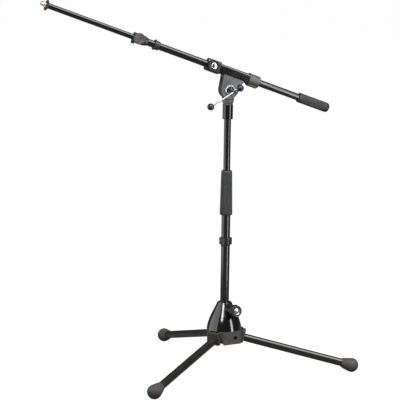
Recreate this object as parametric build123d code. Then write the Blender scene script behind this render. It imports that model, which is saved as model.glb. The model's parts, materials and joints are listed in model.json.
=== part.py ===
from build123d import *

import os
from math import atan2, cos, degrees, hypot, radians, sin, sqrt

# A low tripod microphone stand with a telescopic boom.
# Millimetres and degrees. +Z is up, the origin is on the floor under the mast.
# Leg 1 points along +X. The boom swings in the plane turned boom_turn about the mast.

# ---- Driving dimensions -------------------------------------------------

gap = 0.3                    # air between bodies that pass each other
fit = 0.1                    # running clearance of a shaft in its bush, on the radius

# Tripod
leg_count = 3
foot_reach = 262.0           # foot centre to mast axis
foot_r = 14.5                # rubber foot, its ball end
foot_centre_z = 14.0         # lower than foot_r, so that a small flat tread is left
leg_d = 16.0
leg_wall = 1.5
leg_pin_reach = 23.5         # leg hinge pin to mast axis
leg_pin_z = 72.6
leg_pin_d = 6.0
leg_barrel_r = 9.0           # eye of the leg casting, round the pin
leg_barrel_width = 17.0
leg_fold_angle = 75.0

# Base castings
hub_height = 27.0
hub_bottom_z = 59.6
hub_flat_r = 34.5            # mast axis to the wide faces between the legs
hub_arm_r = 40.0             # mast axis to the ends of the arms that hold the legs
hub_corner_r = 18.0          # rounding of the arms' upright edges
bell_height = 55.4
bell_rim_r = 36.0
bell_shoulder_r = 27.0       # where the cone starts to round over
bell_shoulder_height = 29.1  # above the rim
bell_wall = 4.0

# Mast
mast_outer_d = 18.0
mast_wall = 1.5
mast_slip = 0.5              # inner tube to outer tube, on the radius
inner_wall = 1.2
collar_z = 261.5             # lower edge of the stop collar
collar_height = 14.0
collar_skin = 0.6            # the collar's sleeve round the tube
grip_bottom_z = 322.0
grip_height = 90.0
mast_rest_extension = 104.0  # bare inner tube between the grip and the swivel sleeve
mast_more_extension = 110.0  # what can still be pulled out
mast_overlap = 60.0          # inner tube left in the outer tube at full height

# Swivel
sleeve_height = 30.0
sleeve_to_pivot = 29.0
cheek_r = 17.5
cheek_thick = 5.0
tongue_thick = 9.0
tongue_r = 13.0
pivot_screw_d = 8.0
boom_turn = 20.0             # boom plane, turned about the mast
boom_tilt = 19.5             # boom slope at rest, counterweight end down
boom_offset = 33.8           # boom axis above the pivot, square to the boom

# Boom. Stations run along the boom from the foot of the pivot's perpendicular,
# negative towards the microphone.
boom_outer_d = 14.0
boom_wall = 1.2
boom_slip = 0.3              # inner tube to outer tube, on the radius
saddle_front = -34.0
saddle_back = 32.0
boom_clamp_length = 26.0
tail_collar_length = 24.0
ring_front = -178.0
ring_length = 11.0
tele_front = -222.5
tele_length = 30.0
tip_station = -402.0         # end of the inner boom tube
stud_length = 15.0
thread_d = 9.525             # 3/8 inch microphone thread
thread_chamfer = 0.8
disc_r = 10.5
weight_front = 148.5
weight_length = 65.0
weight_cap_length = 5.5
boom_more_extension = 124.0  # what can still be pulled out
boom_overlap = 31.0          # inner tube left in the outer tube at full length

# Clamp knobs
base_knob_azimuth = 300.0
base_knob_start = 37.5       # knob's back face to mast axis
base_knob_r = 12.5
base_knob_length = 13.0
base_cap_r = 6.7
base_screw_d = 8.0
boom_knob_r = 11.5
boom_knob_length = 9.0
boom_cap_r = 6.4
boom_screw_d = 6.0
tele_knob_r = 11.3
tele_knob_length = 7.5

# T-bar on the pivot screw
bar_d = 4.0
ball_r = 7.0
bar_angle = 50.0             # bar direction from the boom direction
bar_short_side = 12.8        # screw axis to the near ball
bar_long_side = 58.3         # screw axis to the far ball
bar_plane = 40.0             # bar in front of the mast axis
bar_head_r = 5.5

# ---- Values worked out from them ----------------------------------------

mast_outer_r = mast_outer_d / 2
mast_bore_r = mast_outer_r - mast_wall
mast_inner_r = mast_bore_r - mast_slip
boom_outer_r = boom_outer_d / 2
boom_bore_r = boom_outer_r - boom_wall
boom_inner_r = boom_bore_r - boom_slip
leg_r = leg_d / 2
leg_step = 360.0 / leg_count

leg_slope = degrees(atan2(leg_pin_z - foot_centre_z, foot_reach - leg_pin_reach))
leg_reach = hypot(foot_reach - leg_pin_reach, leg_pin_z - foot_centre_z)
plate_front = leg_barrel_r + 4.0
plate_thick = 5.0
plate_half_width = 12.0
plate_below = 10.5
plate_above = 16.5

hub_top_z = hub_bottom_z + hub_height
bell_top_z = hub_top_z + bell_height
arm_half_width = (hub_flat_r - hub_arm_r * cos(radians(60))) / sin(radians(60))
slot_half_width = leg_barrel_width / 2 + 1.2
slot_start = leg_pin_reach - leg_barrel_r - gap
liner_thick = 1.5
hub_bore_r = mast_outer_r + fit + liner_thick + fit
pin_face = (hub_flat_r - leg_pin_reach * cos(radians(60))) / sin(radians(60))
pin_start = -(pin_face - 7.0)
pin_end = slot_half_width + 5.3
pin_mouth_r = leg_pin_d / 2 + 1.3
base_screw_z = bell_top_z - 10.5
base_boss_end = base_knob_start - 2.0
bell_top_r = mast_outer_r + 5.2
bell_screw_reach = 22.0
bell_screw_r = 2.5

collar_skirt = 4.0
collar_r = mast_outer_r + 3.9
grip_bottom_r = mast_outer_r + 3.9
grip_top_r = mast_outer_r + 2.15
plug_flange = 3.0
tube_bottom_z = hub_bottom_z - gap
grip_top_z = grip_bottom_z + grip_height
clutch_top_z = grip_top_z - 14.5
clutch_r = mast_outer_r + 0.8
collet_height = 12.0
collet_bottom_r = mast_outer_r + 0.4
collet_top_r = mast_outer_r - 0.6
sleeve_r = mast_inner_r + 3.5
sleeve_bottom_z = grip_top_z + mast_rest_extension
sleeve_top_z = sleeve_bottom_z + sleeve_height
pivot_z = sleeve_top_z + sleeve_to_pivot
inner_bottom_z = grip_top_z - mast_more_extension - mast_overlap
stud_r = 5.0

neck_height = sleeve_to_pivot - cheek_r - 1.8
web_half_width = tongue_r - 1.5
cheek_inner = tongue_thick / 2 + 1.5
cheek_outer = cheek_inner + cheek_thick
saddle_width = boom_outer_d + 6.0
saddle_half = saddle_width / 2
saddle_bottom = boom_offset - saddle_half
liner_r = boom_outer_r + fit + 1.1
saddle_screw_r = 1.4
saddle_screw_side = (liner_r + gap + saddle_screw_r) / sqrt(2)
clamp_back = saddle_front
clamp_front = clamp_back - boom_clamp_length
clamp_half_width = boom_outer_r + 4.0
clamp_half_height = boom_outer_r + 5.5
boom_clamp_station = clamp_front + 7.2
boom_boss_end = boom_outer_r + 7.5
boom_knob_start = boom_boss_end + gap
tail_back = saddle_back + tail_collar_length
tail_r = boom_outer_r + 5.0
ring_r = boom_outer_r + 3.5
ring_flange = 3.5
tele_back = tele_front + tele_length
tele_body_r = boom_outer_r + 3.0
tele_station = tele_front + 8.0
tele_boss_end = boom_inner_r + 7.5
tele_knob_start = tele_boss_end + gap
tube_front = tele_front + 20.0
bush_r = boom_inner_r + fit + 1.5
bush_front = tele_station + boom_screw_d / 2 + 1.0
boom_inner_end = tube_front + boom_overlap + boom_more_extension
weight_r = boom_outer_r + 3.0
weight_back = weight_front + weight_length
tube_back = weight_front + 15.0

thread_r = thread_d / 2
disc_front = tip_station - 6.0
disc_back = tip_station - 1.5
thread_start = disc_front - gap


# ---- Shape helpers ------------------------------------------------------

def rod(radius, start, end):
    """Round bar along Z between two heights."""
    return Pos(0, 0, (start + end) / 2) * Cylinder(radius, end - start)


def pipe(outer_radius, bore_radius, start, end):
    """Tube along Z between two heights."""
    return rod(outer_radius, start, end) - rod(bore_radius, start - 1, end + 1)


def cone(start_radius, end_radius, start, end):
    """Tapered bar along Z between two heights."""
    return Pos(0, 0, (start + end) / 2) * Cone(start_radius, end_radius, end - start)


def block(x0, x1, y0, y1, z0, z1):
    """Box between two corners."""
    centre = Pos((x0 + x1) / 2, (y0 + y1) / 2, (z0 + z1) / 2)
    return centre * Box(x1 - x0, y1 - y0, z1 - z0)


def turned(points):
    """Solid of revolution about Z from an outline of (radius, height) points."""
    with BuildPart() as solid:
        with BuildSketch(Plane.XZ):
            with BuildLine():
                Polyline(*points, close=True)
            make_face()
        revolve(axis=Axis.Z)
    return solid.part


def along_x(solid):
    """Lay a solid made along Z down along X."""
    return Rot(0, 90, 0) * solid


def along_front(solid):
    """Lay a solid made along Z down so that it points to the front, along -Y."""
    return Rot(90, 0, 0) * solid


def rounded(solid, axis, radius):
    """Round the edges that run along one axis."""
    return fillet(solid.edges().filter_by(axis), radius)


def solids_of(pieces):
    """One node made of several separate solids."""
    return Compound(children=[Solid(piece.solid().wrapped) for piece in pieces])


def each_leg(piece, start_azimuth=0.0):
    """The same piece repeated round the mast, once for each leg."""
    azimuths = [start_azimuth + leg_step * number for number in range(leg_count)]
    return [Rot(0, 0, azimuth) * piece for azimuth in azimuths]


def leg_frame(azimuth):
    """Hinge frame of a leg: X runs out along the leg, Y along the pin."""
    return Rot(0, 0, azimuth) * Pos(leg_pin_reach, 0, leg_pin_z) * Rot(0, leg_slope, 0)


# Swivel frame: origin on the pivot, X along the boom, Y along the pivot screw.
swivel_frame = Pos(0, 0, pivot_z) * Rot(0, 0, boom_turn) * Rot(0, boom_tilt, 0)
# Boom frame: the same directions, origin on the boom axis.
boom_frame = swivel_frame * Pos(0, 0, boom_offset)
# Base clamp frame: Z runs out of the bell along the clamp screw.
base_clamp_frame = Pos(0, 0, base_screw_z) * Rot(0, 0, base_knob_azimuth) * Rot(0, 90, 0)


# ---- Base ---------------------------------------------------------------

def hub_outline():
    """Six-sided outline: wide faces between the legs, narrow ends at the legs."""
    corners = []
    for number in range(leg_count):
        azimuth = radians(leg_step * number)
        for side in (-arm_half_width, arm_half_width):
            x = hub_arm_r * cos(azimuth) - side * sin(azimuth)
            y = hub_arm_r * sin(azimuth) + side * cos(azimuth)
            corners.append((x, y))
    return Polygon(*corners, align=None)


def leg_sweep_room():
    """What the leg's stop plate and eye pass through, in the hinge frame."""
    stop_face = plate_front - gap
    width = arm_half_width + 2.0
    outside = block(stop_face, 60, -width, width, -40, 40)
    below = block(0, 60, -width, width, -40, 0)
    below -= Rot(90, 0, 0) * Cylinder(stop_face, 2 * width)
    return outside + below


def leg_hub():
    """Casting that carries the three legs on their pins."""
    hub = extrude(hub_outline(), hub_height)
    hub = rounded(hub, Axis.Z, hub_corner_r)
    hub = Pos(0, 0, hub_bottom_z) * hub
    hub -= rod(hub_bore_r, hub_bottom_z - 1, hub_top_z + 1)
    slot = block(slot_start, 60, -slot_half_width, slot_half_width, hub_bottom_z - 1, hub_top_z + 1)
    pin_room = Pos(leg_pin_reach, 0, leg_pin_z) * leg_pin_solid()
    mouth = Pos(leg_pin_reach, 0, leg_pin_z) * along_front(rod(pin_mouth_r, -pin_start, pin_face + 10))
    screw_room = Pos(bell_screw_reach, 0, 0) * bell_screw()
    for cutter in (slot, pin_room, mouth):
        for placed in each_leg(cutter):
            hub -= placed
    for placed in each_leg(screw_room, leg_step / 2):
        hub -= placed
    for number in range(leg_count):
        hub -= leg_frame(leg_step * number) * leg_sweep_room()
    return hub


def leg_pin_solid():
    """Hinge pin across a leg slot, along Y, its mouth towards -Y."""
    return along_front(rod(leg_pin_d / 2, -pin_end, -pin_start))


def leg_pins():
    pin = Pos(leg_pin_reach, 0, leg_pin_z) * leg_pin_solid()
    return solids_of(each_leg(pin))


def leg_washers():
    """Friction washers on both sides of each leg eye."""
    thick = slot_half_width - leg_barrel_width / 2 - fit
    middle = slot_half_width - thick / 2
    pieces = []
    for side in (-middle, middle):
        washer = Cylinder(leg_barrel_r - 1.0, thick) - Cylinder(leg_pin_d / 2, thick + 1)
        washer = Pos(leg_pin_reach, side, leg_pin_z) * Rot(90, 0, 0) * washer
        pieces += each_leg(washer)
    return solids_of(pieces)


def bell_screw():
    """Cap screw from under the hub up into the bell."""
    head = rod(4.5, hub_bottom_z + 2, hub_bottom_z + 7)
    return head + rod(bell_screw_r, hub_bottom_z + 6, hub_top_z + 14)


def bell_screws():
    screw = Pos(bell_screw_reach, 0, 0) * bell_screw()
    return solids_of(each_leg(screw, leg_step / 2))


def bell_outside(inset=0.0):
    """Bell form: a straight cone that rounds over smoothly towards the rim."""
    rim = (bell_rim_r - inset, hub_top_z)
    shoulder = (bell_shoulder_r - inset, hub_top_z + bell_shoulder_height)
    top = (bell_top_r - inset, bell_top_z)
    slope = (shoulder[0] - top[0], shoulder[1] - top[1])
    with BuildPart() as form:
        with BuildSketch(Plane.XZ):
            with BuildLine():
                Line((0, hub_top_z), rim)
                TangentArc(shoulder, rim, tangent=slope)
                Line(shoulder, top)
                Line(top, (0, bell_top_z))
                Line((0, bell_top_z), (0, hub_top_z))
            make_face()
        revolve(axis=Axis.Z)
    return form.part


def base_bell():
    """Bell casting over the hub, with the boss of the mast clamp."""
    outside = bell_outside()
    cavity = bell_outside(bell_wall) & rod(60, hub_top_z - 1, hub_top_z + 32)
    posts = each_leg(Pos(bell_screw_reach, 0, 0) * rod(6, hub_top_z, bell_top_z), leg_step / 2)
    bell = outside - cavity
    for post in posts:
        bell += post & outside
    boss = base_clamp_frame * rod(10.0, mast_outer_r - 1, base_boss_end)
    boss = boss & rod(60, hub_top_z, bell_top_z)
    bell += boss
    bell -= rod(mast_outer_r + fit, hub_top_z - 1, bell_top_z + 1)
    bell -= base_clamp_frame * rod(base_screw_d / 2 + fit, 0, 40)
    for placed in each_leg(Pos(bell_screw_reach, 0, 0) * bell_screw(), leg_step / 2):
        bell -= placed
    return bell


def mast_liner():
    """Plastic bush in the hub that the mast stands and turns in."""
    return pipe(hub_bore_r - fit, mast_outer_r + fit, hub_bottom_z, hub_top_z)


def base_clamp_shoe():
    """Brass plug that the clamp screw presses on the mast."""
    shoe = base_clamp_frame * rod(base_screw_d / 2, mast_outer_r - 2, mast_outer_r + 5)
    return shoe - rod(mast_outer_r + 0.05, hub_top_z, bell_top_z + 20)


def base_knob_screw():
    return base_clamp_frame * rod(base_screw_d / 2, mast_outer_r + 5, base_knob_start + 10)


def fluted_knob(radius, start, length, flutes, flute_r):
    """Clamp knob along Z from its back face, with flutes round its edge."""
    body = rod(radius, start, start + length)
    body = chamfer(body.edges().filter_by(GeomType.CIRCLE), 1.0)
    for number in range(flutes):
        flute = Pos(radius + flute_r * 0.6, 0, 0) * rod(flute_r, start - 1, start + length + 1)
        body -= Rot(0, 0, 360.0 / flutes * number) * flute
    return body


def knob_cap(radius, face):
    """Domed cap let 1.5 mm into a knob's face."""
    return rod(radius, face - 1.5, face + 0.5) + cone(radius, radius - 2.0, face + 0.5, face + 1.5)


def base_knob_grip():
    grip = fluted_knob(base_knob_r, base_knob_start, base_knob_length, 12, 2.4)
    grip -= rod(base_screw_d / 2, base_knob_start - 1, base_knob_start + 10)
    grip -= rod(base_cap_r, base_knob_start + base_knob_length - 1.5, base_knob_start + 30)
    return base_clamp_frame * grip


def base_knob_cap():
    return base_clamp_frame * knob_cap(base_cap_r, base_knob_start + base_knob_length)


# ---- Legs ---------------------------------------------------------------

def leg_casting(azimuth):
    """Leg end: hinge eye, neck, stop plate and the spigot inside the tube."""
    eye = Rot(90, 0, 0) * Cylinder(leg_barrel_r, leg_barrel_width)
    neck = block(0, plate_front + 1, -6, 6, -6.5, 6.5)
    plate = block(plate_front, plate_front + plate_thick, -plate_half_width, plate_half_width,
                  -plate_below, plate_above)
    plate = rounded(plate, Axis.X, 3.0)
    spigot = along_x(rod(leg_r - leg_wall, plate_front + 1, plate_front + 35))
    casting = eye + neck + plate + spigot
    casting -= Rot(90, 0, 0) * Cylinder(leg_pin_d / 2 + fit, leg_barrel_width + 2)
    return leg_frame(azimuth) * casting


def leg_tube(azimuth):
    start = plate_front + plate_thick
    return leg_frame(azimuth) * along_x(pipe(leg_r, leg_r - leg_wall, start, leg_reach - 2))


def leg_foot(azimuth):
    """Rubber foot: a sleeve that flares into a ball, cut flat where it stands."""
    start = leg_reach - 21
    flare = turned([(0, start), (leg_r + 1.5, start), (foot_r - 0.6, leg_reach - 3),
                    (foot_r - 0.6, leg_reach), (0, leg_reach)])
    ball = Pos(0, 0, leg_reach) * Sphere(foot_r)
    foot = flare + ball
    foot -= rod(leg_r, start - 1, leg_reach - 2)
    foot = leg_frame(azimuth) * along_x(foot)
    return foot - block(-400, 400, -400, 400, -50, 0)


# ---- Mast ---------------------------------------------------------------

def mast_outer_tube():
    return pipe(mast_outer_r, mast_bore_r, tube_bottom_z, clutch_top_z - 1.5)


def mast_plug():
    """Plug in the bottom of the mast; its flange keeps the mast in the base."""
    flange = rod(hub_bore_r + 0.8, tube_bottom_z - plug_flange, tube_bottom_z)
    return flange + rod(mast_bore_r, tube_bottom_z - 0.5, tube_bottom_z + 14)


def stop_collar():
    """Collar on the mast with three saddles the size of a leg between its horns."""
    horns = rod(collar_r, collar_z, collar_z + collar_height)
    horns = chamfer(horns.edges().filter_by(GeomType.CIRCLE), 0.8)
    skirt_r = mast_outer_r + collar_skin
    saddle = Pos(skirt_r + leg_r + gap, 0, 0) * rod(leg_r + gap, 0, 600)
    for placed in each_leg(saddle, 30):
        horns -= placed
    skirt = rod(skirt_r, collar_z - collar_skirt, collar_z + collar_height)
    return horns + skirt - rod(mast_outer_r, 0, 600)


def clutch_body():
    """Threaded ferrule on top of the outer tube that the grip screws onto."""
    body = rod(clutch_r, clutch_top_z - 25, clutch_top_z)
    body -= rod(mast_outer_r, 0, clutch_top_z - 1.5)
    return body - rod(mast_inner_r + fit, 0, 700)


def collet_outline(grow):
    """Taper shared by the collet and the seat in the grip."""
    bottom = clutch_top_z + 0.5
    return cone(collet_bottom_r + grow, collet_top_r + grow, bottom, bottom + collet_height)


def clutch_collet():
    """Split plastic ring that the grip squeezes on the inner tube."""
    collet = collet_outline(0) - rod(mast_inner_r + 0.05, 0, 700)
    return collet - block(5, 12, -0.6, 0.6, 0, 700)


def clutch_grip():
    """Twist grip, tapering upwards, over the joint of the two mast tubes."""
    grip = turned([(0, grip_bottom_z), (grip_bottom_r - 0.8, grip_bottom_z),
                   (grip_bottom_r, grip_bottom_z + 3), (grip_top_r, grip_top_z - 2),
                   (grip_top_r - 0.8, grip_top_z), (0, grip_top_z)])
    grip -= rod(mast_outer_r + fit, 0, clutch_top_z - 26)
    grip -= rod(clutch_r + fit, clutch_top_z - 26, clutch_top_z + 0.5)
    grip -= collet_outline(fit)
    return grip - rod(mast_inner_r + gap, 0, 700)


def mast_inner_tube():
    return pipe(mast_inner_r, mast_inner_r - inner_wall, inner_bottom_z, sleeve_bottom_z + 15)


def mast_guide():
    """Plastic guide on the lower end of the inner tube."""
    guide = rod(mast_bore_r - fit, inner_bottom_z - 8, inner_bottom_z)
    return guide + rod(mast_inner_r - inner_wall, inner_bottom_z - 1, inner_bottom_z + 12)


# ---- Swivel -------------------------------------------------------------

def swivel_sleeve():
    """Black ferrule that joins the mast and the swivel."""
    sleeve = rod(sleeve_r, sleeve_bottom_z, sleeve_top_z)
    sleeve = chamfer(sleeve.edges().filter_by(GeomType.CIRCLE), 0.8)
    sleeve -= rod(mast_inner_r, 0, sleeve_bottom_z + 15)
    return sleeve - rod(stud_r, 0, 700)


def swivel_stud():
    """Steel stud screwed through the ferrule into the swivel neck."""
    return rod(stud_r, sleeve_bottom_z + 16, sleeve_top_z + 8)


def swivel_neck():
    """Lower swivel casting: a flaring neck and the tongue between the cheeks."""
    shoulder = sleeve_top_z + neck_height
    groove_r = sleeve_r - 0.8
    rim_r = sleeve_r + 1.2
    neck = turned([(0, sleeve_top_z), (groove_r, sleeve_top_z), (groove_r, sleeve_top_z + 1.4),
                   (sleeve_r, sleeve_top_z + 2.4), (rim_r, shoulder - 2.6),
                   (rim_r, shoulder - 0.8), (rim_r - 0.8, shoulder), (0, shoulder)])
    neck -= rod(stud_r, 0, sleeve_top_z + 8)
    half = tongue_thick / 2
    web = block(-web_half_width, web_half_width, -half, half, shoulder - 0.5, pivot_z)
    web -= rod(stud_r, 0, sleeve_top_z + 8)
    eye = Pos(0, 0, pivot_z) * Rot(90, 0, 0) * Cylinder(tongue_r, tongue_thick)
    tongue = web + eye
    tongue -= Pos(0, 0, pivot_z) * Rot(90, 0, 0) * Cylinder(pivot_screw_d / 2 + fit, 40)
    return neck + Rot(0, 0, boom_turn) * tongue


def cheek_outline():
    """Shield shape of a cheek: round at the pivot, wide under the boom."""
    corner_x = 22.0
    corner_z = saddle_bottom + 2
    distance = hypot(corner_x, corner_z)
    spread = degrees(atan2(sqrt(distance ** 2 - cheek_r ** 2), cheek_r))
    toward = degrees(atan2(corner_z, corner_x))
    tangent = toward - spread
    side_x = cheek_r * cos(radians(tangent))
    side_z = cheek_r * sin(radians(tangent))
    shield = Polygon((-corner_x, corner_z), (-side_x, side_z), (side_x, side_z),
                     (corner_x, corner_z), align=None)
    return shield + Circle(cheek_r)


def boom_saddle():
    """Upper swivel casting: two cheeks and the housing round the boom."""
    cheeks = Rot(90, 0, 0) * extrude(cheek_outline(), cheek_outer, both=True)
    cheeks -= block(-40, 40, -cheek_inner, cheek_inner, -40, saddle_bottom - 4)
    length = saddle_back - saddle_front
    middle = (saddle_back + saddle_front) / 2
    housing = Pos(middle, 0, boom_offset) * Box(length, saddle_width, saddle_width)
    housing = rounded(housing, Axis.X, 4.0)
    saddle = cheeks + housing
    saddle -= Pos(0, 0, boom_offset) * along_x(rod(liner_r + fit, saddle_front - 1, saddle_back + 1))
    groove = block(saddle_front + 8, saddle_back - 4, -saddle_half - 1, -saddle_half + 0.9,
                   boom_offset - 1.1, boom_offset + 1.1)
    saddle -= groove
    saddle -= Rot(90, 0, 0) * Cylinder(pivot_screw_d / 2 + fit, 80)
    saddle -= pivot_nut_solid()
    for screw in saddle_screw_places():
        saddle -= screw
    return swivel_frame * saddle


def pivot_nut_solid():
    """Hexagon nut held in the back cheek."""
    nut = extrude(RegularPolygon(7.5, 6), 6.5)
    return Pos(0, cheek_outer - 2.5, 0) * Rot(-90, 0, 0) * nut


def pivot_nut():
    nut = pivot_nut_solid() - Rot(90, 0, 0) * Cylinder(pivot_screw_d / 2 + fit, 80)
    return swivel_frame * nut


def friction_discs():
    """Fibre discs between the tongue and the cheeks."""
    thick = cheek_inner - tongue_thick / 2 - fit
    pieces = []
    for side in (-1, 1):
        disc = Cylinder(tongue_r - 1, thick) - Cylinder(pivot_screw_d / 2 + fit, 5)
        pieces.append(swivel_frame * Pos(0, side * (cheek_inner - thick / 2), 0) * Rot(90, 0, 0) * disc)
    return solids_of(pieces)


def pivot_washer():
    """Chrome cup washer under the head of the pivot screw."""
    cup = cone(10.5, 9.0, cheek_outer + 0.1, cheek_outer + 3.6)
    cup -= rod(7.6, cheek_outer + 2.0, cheek_outer + 6)
    cup -= rod(pivot_screw_d / 2 + fit, 0, 60)
    return swivel_frame * along_front(cup)


def pivot_screw():
    """Pivot screw with the cross-drilled head of the T-bar."""
    shank = rod(pivot_screw_d / 2, -cheek_outer - 4.5, bar_plane)
    flange = rod(6.8, cheek_outer + 2.1, cheek_outer + 4.6)
    head = rod(bar_head_r, bar_plane - 7, bar_plane + 6)
    head = chamfer(head.edges().filter_by(GeomType.CIRCLE), 0.8)
    screw = along_front(shank + flange + head)
    screw -= bar_frame() * rod(bar_d / 2 + fit, -40, 40)
    return swivel_frame * screw


def bar_frame():
    """T-bar frame inside the swivel frame: Z runs along the bar."""
    return Pos(0, -bar_plane, 0) * Rot(0, 90 - bar_angle, 0)


def t_bar():
    return swivel_frame * bar_frame() * rod(bar_d / 2, -bar_long_side - 3, bar_short_side + 3)


def t_bar_balls():
    pieces = []
    for place, inward in ((-bar_long_side, 1), (bar_short_side, -1)):
        ball = Pos(0, 0, place) * Sphere(ball_r)
        ball -= rod(bar_d / 2, -bar_long_side - 3, bar_short_side + 3)
        pieces.append(swivel_frame * bar_frame() * ball)
    return solids_of(pieces)


# ---- Boom clamp and tail collar -----------------------------------------

def saddle_screw():
    """Small screw through the clamp body into the saddle, along X."""
    head = rod(2.7, clamp_front - 1.6, clamp_front + 0.2)
    return along_x(head + rod(saddle_screw_r, clamp_front, saddle_front + 7))


def saddle_screw_places():
    """The two saddle screws, high at the front and low at the back."""
    sides = (saddle_screw_side, -saddle_screw_side)
    return [Pos(0, -side, boom_offset + side) * saddle_screw() for side in sides]


def saddle_screws():
    return solids_of([swivel_frame * screw for screw in saddle_screw_places()])


def boom_clamp_body():
    """Clamp casting in front of the saddle, with the boss of its knob."""
    body = block(clamp_front, clamp_back, -clamp_half_width, clamp_half_width,
                 -clamp_half_height, clamp_half_height)
    body = rounded(body, Axis.X, 5.0)
    body += Pos(boom_clamp_station, 0, 0) * along_front(rod(7.5, 6, boom_boss_end))
    body -= along_x(rod(boom_outer_r + 0.15, clamp_front - 1, clamp_back + 1))
    body -= Pos(boom_clamp_station, 0, 0) * along_front(rod(boom_screw_d / 2 + fit, 0, 30))
    body = Pos(0, 0, boom_offset) * body
    for screw in saddle_screw_places():
        body -= screw
    return swivel_frame * body


def clamp_shoe(station, tube_radius):
    """Pressure plug between a boom clamp screw and its tube."""
    shoe = along_front(rod(boom_screw_d / 2, tube_radius - 2, tube_radius + 2))
    shoe = Pos(station, 0, 0) * shoe
    return shoe - along_x(rod(tube_radius + 0.05, station - 10, station + 10))


def clamp_screw(station, tube_radius, knob_start, length):
    """Clamp screw from its shoe to the middle of its knob."""
    return Pos(station, 0, 0) * along_front(rod(boom_screw_d / 2, tube_radius + 2, knob_start + length))


def boom_clamp_shoe():
    return boom_frame * clamp_shoe(boom_clamp_station, boom_outer_r)


def boom_knob_screw():
    return boom_frame * clamp_screw(boom_clamp_station, boom_outer_r, boom_knob_start, 5.0)


def boom_knob_grip():
    grip = fluted_knob(boom_knob_r, boom_knob_start, boom_knob_length, 12, 2.2)
    grip -= rod(boom_screw_d / 2, boom_knob_start - 1, boom_knob_start + 5)
    grip -= rod(boom_cap_r, boom_knob_start + boom_knob_length - 1.5, boom_knob_start + 30)
    return boom_frame * Pos(boom_clamp_station, 0, 0) * along_front(grip)


def boom_knob_cap():
    cap = knob_cap(boom_cap_r, boom_knob_start + boom_knob_length)
    return boom_frame * Pos(boom_clamp_station, 0, 0) * along_front(cap)


def tail_collar():
    """Collar behind the saddle that steadies the rear tube."""
    flange = along_x(rod(tail_r + 0.8, saddle_back, saddle_back + 3))
    body = along_x(rod(tail_r, saddle_back + 2, tail_back))
    body = chamfer(body.edges().filter_by(GeomType.CIRCLE), 0.8)
    lobe = block(saddle_back + 3, tail_back - 3, -7, 7, -tail_r - 1.5, 0)
    lobe = rounded(lobe, Axis.X, 3.0)
    collar = flange + body + lobe
    return boom_frame * (collar - along_x(rod(boom_outer_r + 0.15, saddle_back - 1, tail_back + 1)))


def boom_liner():
    """Plastic bush in the saddle that the boom slides and turns in."""
    return boom_frame * along_x(pipe(liner_r, boom_outer_r + fit, saddle_front + 0.5, saddle_back - 0.5))


# ---- Boom ---------------------------------------------------------------

def boom_outer_tube():
    return boom_frame * along_x(pipe(boom_outer_r, boom_bore_r, tube_front, tube_back))


def boom_ring():
    """Stop ring on the outer boom tube."""
    flange = rod(ring_r, ring_front, ring_front + ring_flange)
    flange = chamfer(flange.edges().filter_by(GeomType.CIRCLE), 0.6)
    sleeve = rod(ring_r - 1.4, ring_front + ring_flange - 1, ring_front + ring_length)
    sleeve = chamfer(sleeve.edges().filter_by(GeomType.CIRCLE), 0.6)
    ring = flange + sleeve
    ring -= rod(boom_outer_r, ring_front - 1, ring_front + ring_length + 1)
    return boom_frame * along_x(ring)


def counterweight():
    body = rod(weight_r, weight_front, weight_back)
    body = chamfer(body.edges().filter_by(GeomType.CIRCLE), 0.8)
    body -= rod(boom_outer_r, weight_front - 1, tube_back + 1)
    return boom_frame * along_x(body)


def counterweight_cap():
    """Rounded end of the counterweight."""
    cap = rod(weight_r - 0.4, weight_back, weight_back + weight_cap_length)
    cap = fillet(cap.edges().sort_by(Axis.Z)[-1], weight_cap_length - 1.0)
    return boom_frame * along_x(cap)


def tele_clamp_body():
    """Clamp on the front end of the outer boom tube."""
    barrel = rod(tele_body_r, tele_front, tele_back - 8)
    barrel += cone(tele_body_r, boom_outer_r + 1.0, tele_back - 8, tele_back)
    body = along_x(barrel)
    body += block(tele_front, tele_front + 4, -6, 6, -tele_body_r - 2.5, tele_body_r - 0.5)
    body += Pos(tele_station, 0, 0) * along_front(rod(7.0, 4, tele_boss_end))
    body -= along_x(rod(boom_outer_r, tube_front, tele_back + 1))
    body -= along_x(rod(bush_r + fit, bush_front - gap, tube_front))
    body -= along_x(rod(boom_inner_r + 0.15, tele_front - 1, tele_back))
    body -= Pos(tele_station, 0, 0) * along_front(rod(boom_screw_d / 2 + fit, 0, 30))
    return boom_frame * body


def tele_bush():
    """Plastic bush that turns with the inner boom tube in its clamp."""
    return boom_frame * along_x(pipe(bush_r, boom_inner_r + fit, bush_front, tube_front - gap))


def tele_clamp_shoe():
    return boom_frame * clamp_shoe(tele_station, boom_inner_r)


def tele_knob_screw():
    return boom_frame * clamp_screw(tele_station, boom_inner_r, tele_knob_start, 5.0)


def tele_knob_grip():
    grip = fluted_knob(tele_knob_r, tele_knob_start, tele_knob_length, 18, 1.2)
    grip -= rod(boom_screw_d / 2, tele_knob_start - 1, tele_knob_start + 5)
    return boom_frame * Pos(tele_station, 0, 0) * along_front(grip)


def boom_inner_tube():
    tube = pipe(boom_inner_r, boom_inner_r - boom_wall, tip_station, boom_inner_end)
    return boom_frame * along_x(tube)


def boom_guide():
    """Plastic guide on the inner end of the inner boom tube."""
    guide = rod(boom_bore_r - fit, boom_inner_end, boom_inner_end + 6)
    guide += rod(boom_inner_r - boom_wall, boom_inner_end - 10, boom_inner_end + 1)
    return boom_frame * along_x(guide)


def mic_stud():
    """Stud for the microphone clip: free thread, relieved part under the disc, root."""
    stud = rod(thread_r, tip_station - stud_length, thread_start)
    stud = chamfer(stud.edges().sort_by(Axis.Z)[0], thread_chamfer)
    stud += rod(thread_r - 0.2, thread_start - 1, tip_station - 0.05)
    stud += rod(boom_inner_r - boom_wall, tip_station - 1, tip_station + 15)
    return boom_frame * along_x(stud)


def lock_washer():
    return boom_frame * along_x(pipe(7.0, thread_r + fit, tip_station - 1.3, tip_station - gap))


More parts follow.
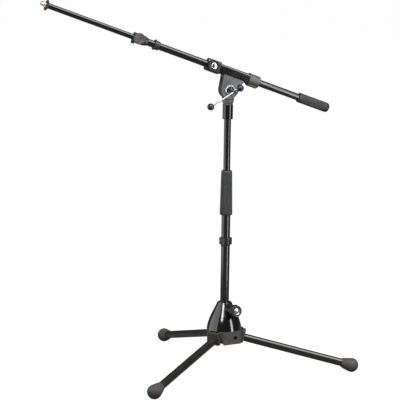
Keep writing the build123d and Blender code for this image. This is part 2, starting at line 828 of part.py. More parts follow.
def lock_disc():
    """Knurled disc that locks the microphone clip on its thread."""
    disc = rod(disc_r, disc_front, disc_back)
    disc = chamfer(disc.edges().filter_by(GeomType.CIRCLE), 0.6)
    return boom_frame * along_x(disc - rod(thread_r + fit, disc_front - 1, tip_station))


# ---- All the nodes ------------------------------------------------------

single_nodes = [
    leg_hub, leg_pins, leg_washers, bell_screws, base_bell, mast_liner,
    base_clamp_shoe, base_knob_screw, base_knob_grip, base_knob_cap,
    mast_outer_tube, mast_plug, stop_collar, clutch_body, clutch_collet, clutch_grip,
    mast_inner_tube, mast_guide, swivel_sleeve, swivel_stud, swivel_neck,
    boom_saddle, pivot_nut, friction_discs, pivot_washer, pivot_screw, t_bar, t_bar_balls,
    saddle_screws, boom_clamp_body, boom_clamp_shoe, boom_knob_screw, boom_knob_grip,
    boom_knob_cap, tail_collar, boom_liner,
    boom_outer_tube, boom_ring, counterweight, counterweight_cap,
    tele_clamp_body, tele_bush, tele_clamp_shoe, tele_knob_screw, tele_knob_grip,
    boom_inner_tube, boom_guide, mic_stud, lock_washer, lock_disc,
]
leg_nodes = [leg_casting, leg_tube, leg_foot]

os.makedirs("parts", exist_ok=True)
for make in single_nodes:
    export_step(make(), "parts/" + make.__name__ + ".step")
for number in range(leg_count):
    for make in leg_nodes:
        name = make.__name__ + "_" + str(number + 1)
        export_step(make(leg_step * number), "parts/" + name + ".step")
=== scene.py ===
import json
from math import cos, hypot, pi, radians, sin

import bmesh
import bpy
from mathutils import Matrix, Vector

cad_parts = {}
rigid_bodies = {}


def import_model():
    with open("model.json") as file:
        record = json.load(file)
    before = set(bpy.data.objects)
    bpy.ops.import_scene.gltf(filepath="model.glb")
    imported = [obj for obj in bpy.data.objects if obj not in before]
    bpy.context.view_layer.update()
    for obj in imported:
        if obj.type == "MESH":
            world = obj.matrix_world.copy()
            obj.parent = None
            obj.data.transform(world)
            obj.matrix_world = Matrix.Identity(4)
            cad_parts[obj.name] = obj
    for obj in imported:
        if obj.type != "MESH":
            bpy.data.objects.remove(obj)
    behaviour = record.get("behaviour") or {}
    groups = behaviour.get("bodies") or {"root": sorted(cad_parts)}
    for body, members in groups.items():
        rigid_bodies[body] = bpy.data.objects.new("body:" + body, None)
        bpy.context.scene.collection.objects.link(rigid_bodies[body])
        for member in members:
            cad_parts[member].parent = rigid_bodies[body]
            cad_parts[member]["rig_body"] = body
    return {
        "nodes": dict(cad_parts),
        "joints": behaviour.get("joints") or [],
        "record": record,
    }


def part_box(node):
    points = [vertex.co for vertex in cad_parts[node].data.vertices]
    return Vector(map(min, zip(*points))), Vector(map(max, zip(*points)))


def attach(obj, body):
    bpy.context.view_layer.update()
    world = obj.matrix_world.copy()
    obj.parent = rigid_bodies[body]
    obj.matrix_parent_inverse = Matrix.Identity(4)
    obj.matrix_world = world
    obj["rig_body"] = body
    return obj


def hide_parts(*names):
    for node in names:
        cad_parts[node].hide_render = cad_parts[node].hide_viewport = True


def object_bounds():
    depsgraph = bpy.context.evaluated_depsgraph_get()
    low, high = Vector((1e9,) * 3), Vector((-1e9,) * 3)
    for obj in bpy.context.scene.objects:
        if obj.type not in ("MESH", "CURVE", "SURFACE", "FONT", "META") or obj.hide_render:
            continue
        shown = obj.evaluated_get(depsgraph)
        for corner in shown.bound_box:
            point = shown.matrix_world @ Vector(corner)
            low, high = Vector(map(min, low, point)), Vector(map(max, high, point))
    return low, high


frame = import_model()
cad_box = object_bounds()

# The looks of a low boom microphone stand. Metres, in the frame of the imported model.
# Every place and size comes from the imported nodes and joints; detail sizes are in mm here.

mm = 0.001
joints = {joint["name"]: joint for joint in frame["joints"]}
nodes = frame["nodes"]
scene = bpy.context.scene


# ---- Places ---------------------------------------------------------------

def place_along(point, along, front):
    """Place with Z along the first direction and X as near as can be to the second."""
    z_axis = Vector(along).normalized()
    y_axis = z_axis.cross(Vector(front)).normalized()
    x_axis = y_axis.cross(z_axis)
    place = Matrix((x_axis, y_axis, z_axis)).transposed().to_4x4()
    place.translation = Vector(point)
    return place


def joint_place(name, front):
    """Place on a joint's axis, with Z along the axis."""
    joint = joints[name]
    return place_along(joint["pos_m"], joint["axis"], front)


def span(node, place):
    """Lowest and highest corner of a CAD node, in a place's own axes."""
    inverse = place.inverted()
    points = [inverse @ vertex.co for vertex in nodes[node].data.vertices]
    low = Vector([min(point[axis] for point in points) for axis in range(3)])
    high = Vector([max(point[axis] for point in points) for axis in range(3)])
    return low, high


def body_of(node):
    """Name of the CAD body that a node belongs to."""
    return nodes[node]["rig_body"]


up = Vector((0, 0, 1))
viewer = -Vector(joints["boom_tilt"]["axis"])
boom_line = Vector(joints["boom_slide"]["axis"])

mast = place_along((0, 0, 0), up, (1, 0, 0))
# Z runs to the microphone, X faces the viewer, Y is up.
boom = place_along(joints["boom_roll"]["pos_m"], -boom_line, viewer)
# Z faces the viewer.
pivot = place_along(joints["boom_tilt"]["pos_m"], viewer, up)
bar = place_along(joints["pivot_screw_turn"]["pos_m"], joints["t_bar_slide"]["axis"], viewer)


# ---- Mesh helpers ---------------------------------------------------------

def eased(outline, reach, steps=3, loop=False):
    """The outline with each corner turned into a small curve."""
    count = len(outline)
    result = []
    for index, corner in enumerate(outline):
        at_end = index in (0, count - 1)
        if at_end and not loop:
            result.append(corner)
            continue
        before = outline[index - 1]
        after = outline[(index + 1) % count]
        near = pull(corner, before, reach)
        far = pull(corner, after, reach)
        for step in range(steps + 1):
            share = step / steps
            result.append(bezier(near, corner, far, share))
    return result


def pull(corner, other, reach):
    """Point a little way from a corner towards another point."""
    length = hypot(other[0] - corner[0], other[1] - corner[1])
    share = min(reach, 0.45 * length) / length
    return (corner[0] + (other[0] - corner[0]) * share,
            corner[1] + (other[1] - corner[1]) * share)


def bezier(first, middle, last, share):
    """Point on the curve that starts and ends along a corner's two sides."""
    rest = 1 - share
    return tuple(rest * rest * a + 2 * rest * share * b + share * share * c
                 for a, b, c in zip(first, middle, last))


def lathe_mesh(mesh, outline, place, segments=72, loop=False, shape=None):
    """Turns (radius, height) points about a place's Z axis. shape bends each radius."""
    rings = []
    for radius, height in outline:
        if radius < 1e-7:
            rings.append([mesh.verts.new(place @ Vector((0, 0, height)))])
            continue
        ring = []
        for index in range(segments):
            angle = 2 * pi * index / segments
            length = shape(angle, radius, height) if shape else radius
            point = Vector((length * cos(angle), length * sin(angle), height))
            ring.append(mesh.verts.new(place @ point))
        rings.append(ring)
    pairs = list(zip(rings, rings[1:]))
    if loop:
        pairs.append((rings[-1], rings[0]))
    for lower, upper in pairs:
        join_rings(mesh, lower, upper)


def join_rings(mesh, lower, upper):
    """Faces between two rings of vertices, either of which may be one point."""
    count = max(len(lower), len(upper))
    for index in range(count):
        after = (index + 1) % count
        if len(lower) == 1:
            mesh.faces.new((lower[0], upper[after], upper[index]))
        elif len(upper) == 1:
            mesh.faces.new((lower[index], lower[after], upper[0]))
        else:
            mesh.faces.new((lower[index], lower[after], upper[after], upper[index]))


def piece_from(name, mesh, material, body, stands_for=()):
    """Finished object from a bmesh, riding on a body."""
    bmesh.ops.remove_doubles(mesh, verts=mesh.verts, dist=1e-7)
    bmesh.ops.recalc_face_normals(mesh, faces=mesh.faces)
    data = bpy.data.meshes.new(name)
    mesh.to_mesh(data)
    mesh.free()
    data.shade_smooth()
    piece = bpy.data.objects.new(name, data)
    scene.collection.objects.link(piece)
    piece.data.materials.append(material)
    weigh_normals(piece)
    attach(piece, body)
    if stands_for:
        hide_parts(*stands_for)
    return piece


def weigh_normals(piece):
    """Keeps the large faces flat beside small rounded edges."""
    weighted = piece.modifiers.new("weighted_normals", "WEIGHTED_NORMAL")
    weighted.keep_sharp = True


def turned_piece(name, outline, place, material, stands_for, segments=72,
                 loop=False, shape=None, ease=0.3 * mm):
    """Turned piece that stands for CAD nodes of one body."""
    mesh = bmesh.new()
    outline = eased(outline, ease, loop=loop)
    lathe_mesh(mesh, outline, place, segments, loop, shape)
    return piece_from(name, mesh, material, body_of(stands_for[0]), stands_for)


def centred(node, place):
    """Place shifted sideways to a node's middle, with the node's radius and two ends."""
    low, high = span(node, place)
    middle = (low + high) / 2
    moved = place @ Matrix.Translation((middle.x, middle.y, 0))
    return moved, (high.x - low.x) / 2, low.z, high.z


# ---- Materials ------------------------------------------------------------

class Nodes:
    """Short calls for building one material's node tree."""

    def __init__(self, name):
        self.material = bpy.data.materials.new(name)
        self.material.use_nodes = True
        self.tree = self.material.node_tree
        self.shader = self.tree.nodes["Principled BSDF"]
        self.where = self.tree.nodes.new("ShaderNodeTexCoord").outputs["Object"]

    def link(self, source, target):
        self.tree.links.new(source, target)

    def noise(self, scale, detail=3.0, stretch=(1, 1, 1)):
        """Noise with a given number of blobs to the metre."""
        node = self.tree.nodes.new("ShaderNodeTexNoise")
        node.inputs["Scale"].default_value = scale
        node.inputs["Detail"].default_value = detail
        mapping = self.tree.nodes.new("ShaderNodeMapping")
        mapping.inputs["Scale"].default_value = stretch
        self.link(self.where, mapping.inputs["Vector"])
        self.link(mapping.outputs["Vector"], node.inputs["Vector"])
        return node.outputs["Fac"]

    def spots(self, scale):
        """Distance to scattered points, for pits and grain."""
        node = self.tree.nodes.new("ShaderNodeTexVoronoi")
        node.inputs["Scale"].default_value = scale
        self.link(self.where, node.inputs["Vector"])
        return node.outputs["Distance"]

    def spread(self, source, low, high, start=0.3, end=0.7):
        """The source's middle range stretched between two values."""
        node = self.tree.nodes.new("ShaderNodeMapRange")
        node.inputs["From Min"].default_value = start
        node.inputs["From Max"].default_value = end
        node.inputs["To Min"].default_value = low
        node.inputs["To Max"].default_value = high
        self.link(source, node.inputs["Value"])
        return node.outputs["Result"]

    def blend(self, factor, first, second):
        """Colour between two colours; either may be a socket."""
        node = self.tree.nodes.new("ShaderNodeMix")
        node.data_type = "RGBA"
        self.link(factor, node.inputs["Factor"])
        for value, socket in ((first, node.inputs[6]), (second, node.inputs[7])):
            if isinstance(value, tuple):
                socket.default_value = (*value, 1)
            else:
                self.link(value, socket)
        return node.outputs[2]

    def bump(self, height, depth, strength=1.0, after=None):
        """Relief of a given depth in metres."""
        node = self.tree.nodes.new("ShaderNodeBump")
        node.inputs["Distance"].default_value = depth
        node.inputs["Strength"].default_value = strength
        self.link(height, node.inputs["Height"])
        if after is not None:
            self.link(after, node.inputs["Normal"])
        return node.outputs["Normal"]


def finish_material(build, colour, rough, normal, metal=0.0, specular=0.5, coat=0.0):
    """Links a built colour, roughness and relief to the shader."""
    build.link(colour, build.shader.inputs["Base Color"])
    build.link(rough, build.shader.inputs["Roughness"])
    build.link(normal, build.shader.inputs["Normal"])
    build.shader.inputs["Metallic"].default_value = metal
    build.shader.inputs["Specular IOR Level"].default_value = specular
    build.shader.inputs["Coat Weight"].default_value = coat
    build.shader.inputs["Coat Roughness"].default_value = 0.08
    return build.material


def enamel(name, dark, light, rough, coat):
    """Powder coat: faint orange peel, handling haze and fine dust."""
    build = Nodes(name)
    haze = build.noise(25, 4)
    dust = build.spread(build.noise(900, 2), 0, 0.5, 0.64, 0.74)
    tone = build.blend(build.spread(haze, 0, 1), dark, light)
    dusty = tuple(value + 0.012 for value in light)
    colour = build.blend(dust, tone, dusty)
    roughness = build.spread(build.noise(60, 3), rough * 0.8, rough * 1.25)
    peel = build.bump(build.noise(700, 1), 0.02 * mm, 0.35)
    return finish_material(build, colour, roughness, peel, coat=coat)


def casting(name, dark, light, rough, grain, depth):
    """Painted casting: grain, small pits and a little colour drift."""
    build = Nodes(name)
    tone = build.blend(build.spread(build.noise(70, 5), 0, 1), dark, light)
    fleck = build.spread(build.spots(grain), 1, 0, 0.05, 0.35)
    lighter = tuple(value * 1.35 for value in light)
    colour = build.blend(fleck, tone, lighter)
    roughness = build.spread(build.noise(grain / 2, 3), rough * 0.85, rough * 1.2)
    relief = build.bump(build.noise(grain, 4), depth, 0.8)
    return finish_material(build, colour, roughness, relief)


def plastic(name, dark, light, rough, depth, specular=0.5):
    """Moulded plastic with a fine sparked texture and rubbed patches."""
    build = Nodes(name)
    tone = build.blend(build.spread(build.noise(90, 4), 0, 1), dark, light)
    roughness = build.spread(build.noise(140, 4), rough * 0.85, rough * 1.15)
    relief = build.bump(build.noise(1800, 3), depth, 0.6)
    return finish_material(build, tone, roughness, relief, specular=specular)


def bare_metal(name, dark, light, rough, stretch=(1, 1, 1)):
    """Plated or bare metal with fine polishing marks."""
    build = Nodes(name)
    tone = build.blend(build.spread(build.noise(150, 4), 0, 1), dark, light)
    roughness = build.spread(build.noise(400, 4, stretch), rough * 0.7, rough * 1.4)
    relief = build.bump(build.noise(1500, 2, stretch), 0.01 * mm, 0.4)
    return finish_material(build, tone, roughness, relief, metal=1.0)


def rubber(name, dark, light):
    """Moulded rubber: dull, with dusty patches and a pebbled skin."""
    build = Nodes(name)
    tone = build.blend(build.spread(build.noise(45, 5), 0, 1), dark, light)
    dust = build.spread(build.noise(260, 4), 0, 0.7, 0.55, 0.75)
    dusty = tuple(value * 1.8 for value in light)
    colour = build.blend(dust, tone, dusty)
    roughness = build.spread(build.noise(120, 3), 0.55, 0.8)
    relief = build.bump(build.spots(900), 0.06 * mm, 0.5)
    return finish_material(build, colour, roughness, relief, specular=0.35)


finishes = {
    "black_enamel": enamel("black_enamel", (0.002, 0.002, 0.002), (0.005, 0.005, 0.005),
                           rough=0.17, coat=0.45),
    "bell_enamel": enamel("bell_enamel", (0.002, 0.002, 0.003), (0.004, 0.004, 0.004),
                          rough=0.14, coat=0.7),
    "leg_enamel": enamel("leg_enamel", (0.008, 0.006, 0.005), (0.017, 0.014, 0.012),
                         rough=0.2, coat=0.4),
    "hub_casting": casting("hub_casting", (0.030, 0.027, 0.022), (0.052, 0.047, 0.040),
                           rough=0.42, grain=900, depth=0.05 * mm),
    "swivel_casting": casting("swivel_casting", (0.055, 0.056, 0.062), (0.095, 0.097, 0.106),
                              rough=0.40, grain=1100, depth=0.12 * mm),
    "clamp_casting": casting("clamp_casting", (0.012, 0.011, 0.010), (0.026, 0.023, 0.021),
                             rough=0.36, grain=900, depth=0.05 * mm),
    "collar_casting": casting("collar_casting", (0.040, 0.036, 0.032), (0.070, 0.063, 0.056),
                              rough=0.38, grain=900, depth=0.05 * mm),
    "steel": bare_metal("steel", (0.42, 0.42, 0.43), (0.58, 0.58, 0.58), rough=0.28),
    "chrome": bare_metal("chrome", (0.62, 0.62, 0.62), (0.72, 0.72, 0.72), rough=0.07),
    "bar_chrome": bare_metal("bar_chrome", (0.3, 0.3, 0.3), (0.42, 0.42, 0.42), rough=0.16),
    "brass": bare_metal("brass", (0.72, 0.62, 0.42), (0.86, 0.77, 0.58), rough=0.25),
    "knob_plastic": plastic("knob_plastic", (0.005, 0.005, 0.005), (0.011, 0.010, 0.010),
                            rough=0.34, depth=0.03 * mm),
    "knob_brown": plastic("knob_brown", (0.045, 0.038, 0.035), (0.072, 0.062, 0.058),
                          rough=0.42, depth=0.04 * mm),
    "ball_plastic": plastic("ball_plastic", (0.004, 0.004, 0.004), (0.009, 0.009, 0.009),
                            rough=0.1, depth=0.005 * mm),
    "grip_plastic": plastic("grip_plastic", (0.016, 0.017, 0.018), (0.028, 0.029, 0.031),
                            rough=0.5, depth=0.05 * mm),
    "bush_plastic": plastic("bush_plastic", (0.03, 0.03, 0.03), (0.05, 0.05, 0.05),
                            rough=0.4, depth=0.02 * mm),
    "fibre": plastic("fibre", (0.16, 0.09, 0.05), (0.24, 0.15, 0.09),
                     rough=0.7, depth=0.05 * mm),
    "weight_finish": plastic("weight_finish", (0.008, 0.008, 0.008), (0.018, 0.018, 0.018),
                             rough=0.5, depth=0.06 * mm),
    "rubber": rubber("rubber", (0.03, 0.027, 0.024), (0.05, 0.045, 0.04)),
    "mark": plastic("mark", (0.01, 0.01, 0.01), (0.02, 0.02, 0.02),
                    rough=0.4, depth=0.01 * mm),
}


# ---- Carried-over CAD nodes -----------------------------------------------

slot_of = {part["node"]: part["material_slot"] for part in frame["record"]["subparts"]}

# Pieces whose finish differs from the rest of their slot.
own_finish = {
    "pivot_screw": "bar_chrome",
    # The hinge pins are near black: painted shade, standing for the dark holes that the pins
    # sit in.
    "leg_pins": "mark",
    "boom_clamp_body": "clamp_casting",
    "tele_clamp_body": "clamp_casting",
    "boom_ring": "clamp_casting",
    "tail_collar": "collar_casting",
}


def finish_of(node):
    """The finish for a node: its slot's, unless it has one of its own."""
    if node.startswith("leg_tube"):
        return finishes["leg_enamel"]
    return finishes[own_finish.get(node, slot_of[node])]


def dress_node(node):
    """Gives a CAD node its finish and slightly rounded edges."""
    piece = nodes[node]
    piece.data.materials.clear()
    piece.data.materials.append(finish_of(node))
    weld = piece.modifiers.new("weld", "WELD")
    weld.merge_threshold = 0.002 * mm
    edge = piece.modifiers.new("edge", "BEVEL")
    edge.width = 0.35 * mm
    edge.segments = 2
    edge.limit_method = "ANGLE"
    edge.angle_limit = radians(35)
    edge.use_clamp_overlap = True
    weigh_normals(piece)
    piece.data.shade_smooth()


def blacken_housing():
    """Gloss black on the part of the saddle that holds the boom; the cheeks stay grey."""
    saddle = nodes["boom_saddle"]
    saddle.data.materials.append(finishes["black_enamel"])
    high = span("boom_saddle", boom)[1]
    # The housing is as deep below the boom's axis as above it.
    lower_edge = -high.y + 0.2 * mm
    inverse = boom.inverted()
    for face in saddle.data.polygons:
        if (inverse @ face.center).y > lower_edge:
            face.material_index = 1


# ---- Tubes ----------------------------------------------------------------

def bore(node, place):
    """Smallest distance of a node's surface from a place's Z axis."""
    inverse = place.inverted()
    points = [inverse @ vertex.co for vertex in nodes[node].data.vertices]
    return min(hypot(point.x, point.y) for point in points)


def tube(node, place, ease=0.25 * mm):
    """Drawn tube or ferrule in place of its faceted CAD node."""
    low, high = span(node, place)
    radius = (high.y - low.y) / 2
    inner = bore(node, place)
    outline = [(inner, low.z), (radius, low.z), (radius, high.z), (inner, high.z)]
    return turned_piece(node + "_wall", outline, place, finish_of(node), [node],
                        loop=True, ease=ease)


def leg_place(number):
    """Place on a leg's hinge pin, with Z along the leg."""
    pin = Vector(joints["leg_fold_%d" % number]["pos_m"])
    low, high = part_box("leg_tube_%d" % number)
    return place_along(pin, (low + high) / 2 - pin, up)


def all_tubes():
    tube("mast_outer_tube", mast)
    tube("mast_inner_tube", mast)
    tube("swivel_sleeve", mast, ease=1.0 * mm)
    tube("boom_outer_tube", boom)
    tube("boom_inner_tube", boom)
    for number in (1, 2, 3):
        tube("leg_tube_%d" % number, leg_place(number))


# ---- Feet -----------------------------------------------------------------

def foot(number):
    """Rubber foot: ringed sleeve, flare and ball, flattened by the floor."""
    node = "leg_foot_%d" % number
    place = leg_place(number)
    low, high = span(node, place)
    ball = (high.y - low.y) / 2
    centre = high.z - ball
    leg_low, leg_high = span("leg_tube_%d" % number, place)
    pocket = (leg_high.y - leg_low.y) / 2 + 0.02 * mm
    sleeve = pocket + 1.5 * mm
    flare = ball - 0.6 * mm
    start = low.z
    outline = [(0, leg_high.z), (pocket, leg_high.z), (pocket, start), (sleeve, start),
               (sleeve + 0.5 * mm, start + 2 * mm), (sleeve + 0.2 * mm, start + 3 * mm),
               (sleeve + 1.2 * mm, start + 4 * mm), (flare, centre - 3.5 * mm),
               (flare, centre - 1.5 * mm)]
    steps = 14
    for step in range(steps + 1):
        angle = pi / 2 * step / steps
        outline.append((ball * cos(angle), centre + ball * sin(angle)))
    mesh = bmesh.new()
    lathe_mesh(mesh, eased(outline, 0.5 * mm), place)
    for vertex in mesh.verts:
        vertex.co.z = max(vertex.co.z, 0.0)
    return piece_from("rubber_foot_%d" % number, mesh, finishes["rubber"], body_of(node),
                      [node])


def plate_rivets(number):
    """Two blacked rivet heads near the top of a leg's stop plate."""
    place = leg_place(number)
    face = span("leg_tube_%d" % number, place)[0].z
    plate = span("leg_casting_%d" % number, place)[1]
    head = [(0, -0.2 * mm), (1.6 * mm, -0.2 * mm), (1.5 * mm, 0.25 * mm), (0, 0.4 * mm)]
    mesh = bmesh.new()
    for side in (-0.5, 0.5):
        spot = place @ Matrix.Translation((plate.x - 4 * mm, side * plate.y, face))
        lathe_mesh(mesh, head, spot, 20)
    return piece_from("plate_rivets_%d" % number, mesh, finishes["mark"],
                      body_of("leg_casting_%d" % number))


# ---- Ribbed and knurled pieces --------------------------------------------

points_per_rib = 6


def ribs(count, depth, start, end, fade):
    """Radius rule for lengthwise ribs between two heights."""
    def shape(angle, radius, height):
        inside = min(height - start, end - height)
        amount = min(max(inside / fade, 0.0), 1.0)
        groove = (0.5 - 0.5 * cos(count * angle)) ** 2
        return radius - depth * amount * groove
    return shape


def many_points(start, end, count):
    """Evenly spaced points along one side of an outline."""
    return [tuple(a + (b - a) * step / count for a, b in zip(start, end))
            for step in range(count + 1)]


def grip():
    """Twist grip with fine lengthwise ribs between two plain lips."""
    node = "clutch_grip"
    low, high = span(node, mast)
    radius = (high.x - low.x) / 2
    narrow = radius - 1.75 * mm
    lip = 3 * mm
    tube_low, tube_high = span("mast_outer_tube", mast)
    lower_bore = (tube_high.x - tube_low.x) / 2 + 0.1 * mm
    upper_bore = bore(node, mast)
    outline = [(lower_bore, low.z), (radius - 0.8 * mm, low.z)]
    outline += many_points((radius, low.z + lip), (narrow, high.z - 2 * mm), 30)
    outline += [(narrow - 0.8 * mm, high.z), (upper_bore, high.z)]
    count = 56
    shape = ribs(count, 0.45 * mm, low.z + lip, high.z - 2.5 * mm, 2 * mm)
    mesh = bmesh.new()
    lathe_mesh(mesh, outline, mast, count * points_per_rib, True, shape)
    return piece_from("ribbed_grip", mesh, finishes["grip_plastic"], body_of(node), [node])


def weight():
    """Counterweight sleeve, finely ribbed, with a plain band at each end."""
    node = "counterweight"
    low, high = span(node, boom)
    radius = (high.y - low.y) / 2
    inner = bore(node, boom)
    band = 4 * mm
    outline = [(inner, low.z), (radius - 0.9 * mm, low.z), (radius, low.z + 0.9 * mm)]
    outline += many_points((radius, low.z + band), (radius, high.z - band), 16)
    outline += [(radius, high.z - 0.8 * mm), (radius - 0.8 * mm, high.z), (inner, high.z)]
    count = 48
    shape = ribs(count, 0.4 * mm, low.z + band, high.z - band, 0.6 * mm)
    mesh = bmesh.new()
    lathe_mesh(mesh, outline, boom, count * points_per_rib, True, shape)
    return piece_from("ribbed_weight", mesh, finishes["weight_finish"], body_of(node), [node])


def knurled_disc():
    """Lock disc under the microphone clip, knurled round its rim."""
    node = "lock_disc"
    place = joint_place("lock_disc_turn", viewer)
    low, high = span(node, place)
    radius = (high.y - low.y) / 2
    inner = bore(node, place)
    boss = 0.62 * radius
    boss_foot = 0.66 * radius
    face_edge = 0.9 * radius
    dish = 0.4 * mm
    chamfer = 0.9 * mm
    outline = [(inner, low.z), (boss, low.z), (boss_foot, low.z + dish),
               (face_edge, low.z + dish), (radius, low.z + chamfer),
               (radius, high.z - chamfer), (face_edge, high.z - dish),
               (boss_foot, high.z - dish), (boss, high.z), (inner, high.z)]
    count = 40
    shape = ribs(count, 0.5 * mm, low.z - 2 * mm, high.z + 2 * mm, 1 * mm)

    def rim_only(angle, length, height):
        return shape(angle, length, height) if length > 0.95 * radius else length

    mesh = bmesh.new()
    lathe_mesh(mesh, eased(outline, 0.2 * mm, loop=True), place, count * 8, True, rim_only)
    return piece_from("knurled_lock_disc", mesh, finishes["knob_plastic"], body_of(node),
                      [node])


def threaded_stud():
    """Microphone stud with its real 16-to-the-inch thread cut as a helix."""
    node = "mic_stud"
    low, high = span(node, boom)
    tube_end = span("boom_inner_tube", boom)[1].z
    crest = (high.y - low.y) / 2
    pitch = 25.4 * mm / 16
    depth = 0.6 * pitch
    start = tube_end + 0.05 * mm
    end = high.z
    points_per_turn = 8
    count = int((end - start) / pitch * points_per_turn)

    def thread(angle, radius, height):
        turn = (height / pitch - angle / (2 * pi)) % 1.0
        groove = 1 - abs(2 * turn - 1)
        lead = min(max((end - height) / (1.2 * pitch), 0.0), 1.0)
        return radius - depth * max(0.0, 1.15 * groove - 0.15) - 0.5 * depth * (1 - lead)

    outline = [(0, start)] + many_points((crest, start), (crest, end), count) + [(0, end)]
    mesh = bmesh.new()
    lathe_mesh(mesh, outline, boom, 48, False, thread)
    return piece_from("threaded_stud", mesh, finishes["brass"], body_of(node), [node])


# ---- Clamp knobs ----------------------------------------------------------

def knob(node, joint, flutes, depth, rings=0):
    """Moulded clamp knob: fluted rim, dished face, and rings if it has no cap."""
    place = joint_place(joint, up)
    low, high = span(node, place)
    radius = max(high.y, high.x)
    inner = bore(node, place)
    dish = high.z - 0.5 * mm
    ring_top = high.z - 0.15 * mm
    face = [(0.93 * radius, high.z), (0.8 * radius, high.z), (0.77 * radius, dish)]
    for ring in range(rings):
        outer = 0.74 * radius * (1 - ring / (rings + 0.6))
        face += [(outer, dish), (outer - 0.35 * mm, ring_top),
                 (outer - 1.0 * mm, ring_top), (outer - 1.35 * mm, dish)]
    face += [(0.05 * radius, high.z - 0.7 * mm), (0, high.z - 0.7 * mm)]
    socket = low.z + 5 * mm
    rounding = 1.3 * mm
    back = [(0, socket), (inner, socket), (inner, low.z), (0.86 * radius, low.z)]
    rim = [(radius, low.z + rounding), (radius, high.z - rounding)]
    outline = eased(back + rim + face, 0.5 * mm)

    def fluted(angle, length, height):
        edge = min(max((length / radius - 0.84) / 0.1, 0.0), 1.0)
        wave = max(0.0, cos(flutes * angle)) ** 1.5
        return length - depth * edge * wave

    mesh = bmesh.new()
    lathe_mesh(mesh, outline, place, flutes * 16, False, fluted)
    return piece_from(node + "_moulded", mesh, finish_of(node), body_of(node), [node])


def cap(node, joint):
    """Domed chrome cap with a raised rim, and a plain slot mark let into it."""
    place = joint_place(joint, up)
    low, high = span(node, place)
    radius = (high.y - low.y) / 2
    top = high.z
    rim_top = top - 0.3 * mm
    dip = 0.7 * mm
    outline = [(0, low.z), (radius, low.z), (radius, top - 0.9 * mm), (0.9 * radius, rim_top),
               (0.8 * radius, rim_top), (0.74 * radius, top - dip)]
    steps = 6
    for step in range(steps + 1):
        share = 1 - step / steps
        outline.append((0.68 * radius * share, top - dip * share * share))
    mesh = bmesh.new()
    lathe_mesh(mesh, eased(outline, 0.25 * mm), place)
    piece_from(node + "_dome", mesh, finishes["chrome"], body_of(node), [node])
    mark = bmesh.new()
    tilted = place @ Matrix.Rotation(radians(-38), 4, "Z")
    add_bar(mark, tilted, (0, 0, top - 0.22 * mm), (0.26 * radius, 1.05 * radius, 0.5 * mm))
    piece_from(node + "_mark", mark, finishes["mark"], body_of(node))


def add_bar(mesh, place, centre, size):
    """Small bar with rounded ends lying flat in a place."""
    half = size[0] / 2
    reach = size[1] / 2 - half
    loops = []
    for level in (-size[2] / 2, size[2] / 2):
        loop = []
        for index in range(24):
            angle = 2 * pi * index / 24
            shift = reach if 0 <= angle < pi else -reach
            point = Vector((half * cos(angle), half * sin(angle) + shift, level))
            loop.append(mesh.verts.new(place @ (point + Vector(centre))))
        loops.append(loop)
    join_rings(mesh, loops[0], loops[1])
    mesh.faces.new(loops[0])
    mesh.faces.new(loops[1])


def all_knobs():
    knob("base_knob_grip", "base_knob_turn", 12, 0.9 * mm)
    knob("boom_knob_grip", "boom_knob_turn", 12, 0.9 * mm)
    knob("tele_knob_grip", "tele_knob_turn", 18, 0.5 * mm, rings=2)
    cap("base_knob_cap", "base_knob_turn")
    cap("boom_knob_cap", "boom_knob_turn")


# ---- T-bar, its balls and the cup washer -----------------------------------

def t_bar():
    """Chrome bar that slides through the head of the pivot screw."""
    place, radius, start, end = centred("t_bar", bar)
    outline = [(0, start), (radius, start), (radius, end), (0, end)]
    return turned_piece("t_bar_rod", outline, place, finishes["bar_chrome"], ["t_bar"])


def balls():
    """Moulded balls with a small flat where the bar goes in."""
    place, radius, start, end = centred("t_bar_balls", bar)
    flat_height = 0.94
    steps = 28
    mesh = bmesh.new()
    for centre, inward in ((start + radius, 1), (end - radius, -1)):
        outline = []
        for step in range(steps + 1):
            angle = pi * step / steps
            height = min(cos(angle), flat_height) * inward
            outline.append((radius * sin(angle), centre + radius * height))
        lathe_mesh(mesh, outline, place, 56)
    return piece_from("bar_balls", mesh, finishes["ball_plastic"], body_of("t_bar_balls"),
                      ["t_bar_balls"])


def cup_washer():
    """Chrome cup washer that the pivot screw's flange sits in."""
    place, radius, start, end = centred("pivot_washer", pivot)
    inner = bore("pivot_washer", place)
    cup_floor = end - 1.6 * mm
    outline = [(inner, start), (radius, start), (radius, start + 0.6 * mm),
               (0.85 * radius, end), (0.72 * radius, end), (0.70 * radius, cup_floor),
               (inner, cup_floor)]
    return turned_piece("cup_washer", outline, place, finishes["chrome"], ["pivot_washer"],
                        loop=True, ease=0.4 * mm)


# ---- Stage ----------------------------------------------------------------

def floor():
    """Large pale floor, the same colour as the backdrop."""
    mesh = bmesh.new()
    bmesh.ops.create_grid(mesh, x_segments=1, y_segments=1, size=40)
    data = bpy.data.meshes.new("floor")
    mesh.to_mesh(data)
    mesh.free()
    plane = bpy.data.objects.new("floor", data)
    scene.collection.objects.link(plane)
    plane.data.materials.append(floor_material())


def floor_material():
    """Nearly white to the camera; darker in reflections, so that glossy paint stays black."""
    material = bpy.data.materials.new("floor")
    material.use_nodes = True
    tree = material.node_tree
    shader = tree.nodes["Principled BSDF"]
    shader.inputs["Roughness"].default_value = 0.9
    shader.inputs["Specular IOR Level"].default_value = 0.0
    shader.inputs["Base Color"].default_value = (0.1, 0.1, 0.1, 1)
    shader.inputs["Emission Color"].default_value = (1, 1, 1, 1)
    path = tree.nodes.new("ShaderNodeLightPath")
    glow = tree.nodes.new("ShaderNodeMapRange")
    glow.inputs["To Min"].default_value = 0.06
    glow.inputs["To Max"].default_value = 0.98
    tree.links.new(path.outputs["Is Camera Ray"], glow.inputs["Value"])
    tree.links.new(glow.outputs["Result"], shader.inputs["Emission Strength"])
    return material


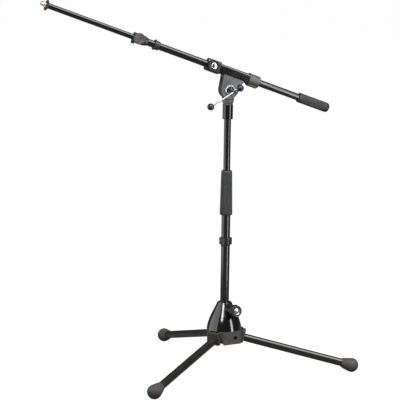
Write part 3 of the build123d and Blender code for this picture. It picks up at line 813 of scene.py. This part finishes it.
def backdrop():
    """White seen directly; a dimmer room as far as light and gloss go."""
    world = bpy.data.worlds.new("studio")
    world.use_nodes = True
    scene.world = world
    tree = world.node_tree
    tree.nodes.clear()
    path = tree.nodes.new("ShaderNodeLightPath")
    seen = tree.nodes.new("ShaderNodeBackground")
    seen.inputs["Color"].default_value = (1, 1, 1, 1)
    room = tree.nodes.new("ShaderNodeBackground")
    room.inputs["Color"].default_value = (1, 1, 1, 1)
    room.inputs["Strength"].default_value = 0.07
    mix = tree.nodes.new("ShaderNodeMixShader")
    output = tree.nodes.new("ShaderNodeOutputWorld")
    tree.links.new(path.outputs["Is Camera Ray"], mix.inputs["Fac"])
    tree.links.new(room.outputs["Background"], mix.inputs[1])
    tree.links.new(seen.outputs["Background"], mix.inputs[2])
    tree.links.new(mix.outputs["Shader"], output.inputs["Surface"])


def softbox(name, azimuth, elevation, distance, size, glow, aim):
    """Rectangular lamp aimed at a point. glow is how bright its face looks."""
    direction = Vector((sin(radians(azimuth)) * cos(radians(elevation)),
                        -cos(radians(azimuth)) * cos(radians(elevation)),
                        sin(radians(elevation))))
    lamp = bpy.data.lights.new(name, "AREA")
    lamp.shape = "RECTANGLE"
    lamp.size = size[0]
    lamp.size_y = size[1]
    lamp.energy = glow * pi * size[0] * size[1]
    box = bpy.data.objects.new(name, lamp)
    box.location = Vector(aim) + direction * distance
    box.rotation_euler = (-direction).to_track_quat("-Z", "Y").to_euler()
    box.visible_camera = False
    scene.collection.objects.link(box)


def lamps():
    """Soft light overhead, a dim panel close on the left, and narrow bright strips."""
    middle = (cad_box[0] + cad_box[1]) / 2
    softbox("overhead", azimuth=28, elevation=62, distance=2.4, size=(3.6, 2.0),
            glow=5.5, aim=middle)
    softbox("left_panel", azimuth=-80, elevation=4, distance=0.9, size=(1.3, 1.3),
            glow=1.6, aim=middle)
    softbox("right_strip", azimuth=56, elevation=2, distance=0.85, size=(0.18, 1.3),
            glow=8.0, aim=middle)
    softbox("front_strip", azimuth=-18, elevation=33, distance=2.3, size=(0.5, 0.9),
            glow=13.0, aim=middle)


def camera():
    """Camera at the photograph's viewing angle: far off, long lens, looking down a little."""
    distance = 3.191
    height = 0.8607
    look_down = 9.075
    look_left = 0.951
    roll = 0.825
    data = bpy.data.cameras.new("camera")
    data.lens = 144
    data.sensor_width = 36
    data.clip_end = 200
    eye = bpy.data.objects.new("camera", data)
    turn = Matrix.Rotation(radians(look_left), 4, "Z")
    tilt = Matrix.Rotation(radians(90 - look_down), 4, "X")
    spin = Matrix.Rotation(radians(roll), 4, "Z")
    eye.matrix_world = Matrix.Translation((0, -distance, height)) @ turn @ tilt @ spin
    scene.collection.objects.link(eye)
    scene.camera = eye


# ---- Everything together --------------------------------------------------

camera()
floor()
backdrop()
lamps()
for node_name in sorted(nodes):
    dress_node(node_name)
blacken_housing()
all_tubes()
for leg_number in (1, 2, 3):
    foot(leg_number)
    plate_rivets(leg_number)
grip()
weight()
knurled_disc()
threaded_stud()
all_knobs()
t_bar()
balls()
cup_washer()

scene.view_settings.view_transform = "Standard"
